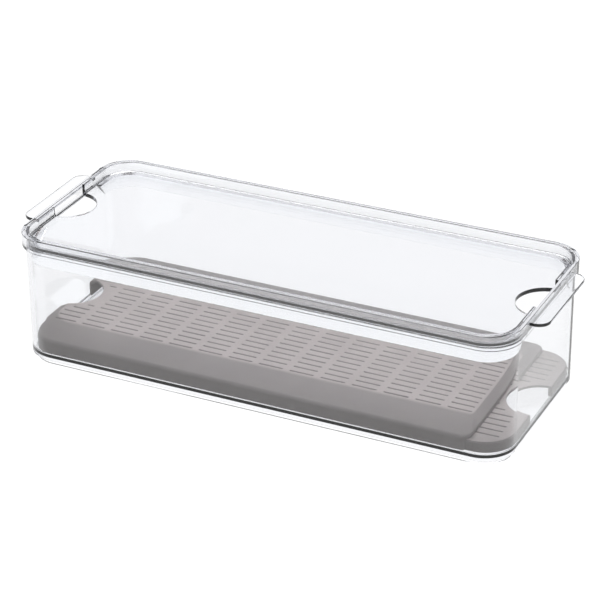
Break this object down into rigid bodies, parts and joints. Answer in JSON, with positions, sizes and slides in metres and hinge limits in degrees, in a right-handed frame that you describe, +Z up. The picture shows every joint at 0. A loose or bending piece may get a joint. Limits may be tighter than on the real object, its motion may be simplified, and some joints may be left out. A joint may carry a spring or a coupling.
{
  "type": "fridge bin",
  "caption": "Long clear rectangular fridge bin with end tabs, a recessed drop-in lid with finger notches, and nested slotted drain trays.",
  "frame": {"origin": "centre of the rectangle that the foot stands on, at the height of the surface under it", "axes": "+X along the bin's length, +Y across its width, +Z up"},
  "size_m": [0.404, 0.154, 0.1],
  "materials": {
    "clear_bin": "clear, polished",
    "lower_tray_grey": "satin warm grey",
    "upper_tray_grey": "satin warm grey",
    "clear_lid": "clear, polished"
  },
  "bodies": {
    "bin": {"bin": "clear_bin"},
    "lower_tray": {"lower_tray": "lower_tray_grey"},
    "upper_tray": {"upper_tray": "upper_tray_grey"},
    "lid": {"lid": "clear_lid"}
  },
  "joints": [
    {"name": "lower_tray_lift", "type": "slide", "parent": "bin", "child": "lower_tray", "axis": [0, 0, 1], "range_m": [0, 0.1]},
    {"name": "upper_tray_lift", "type": "slide", "parent": "lower_tray", "child": "upper_tray", "axis": [0, 0, 1], "range_m": [0, 0.1]},
    {"name": "lid_lift", "type": "slide", "parent": "upper_tray", "child": "lid", "axis": [0, 0, 1], "range_m": [0, 0.1]}
  ]
}
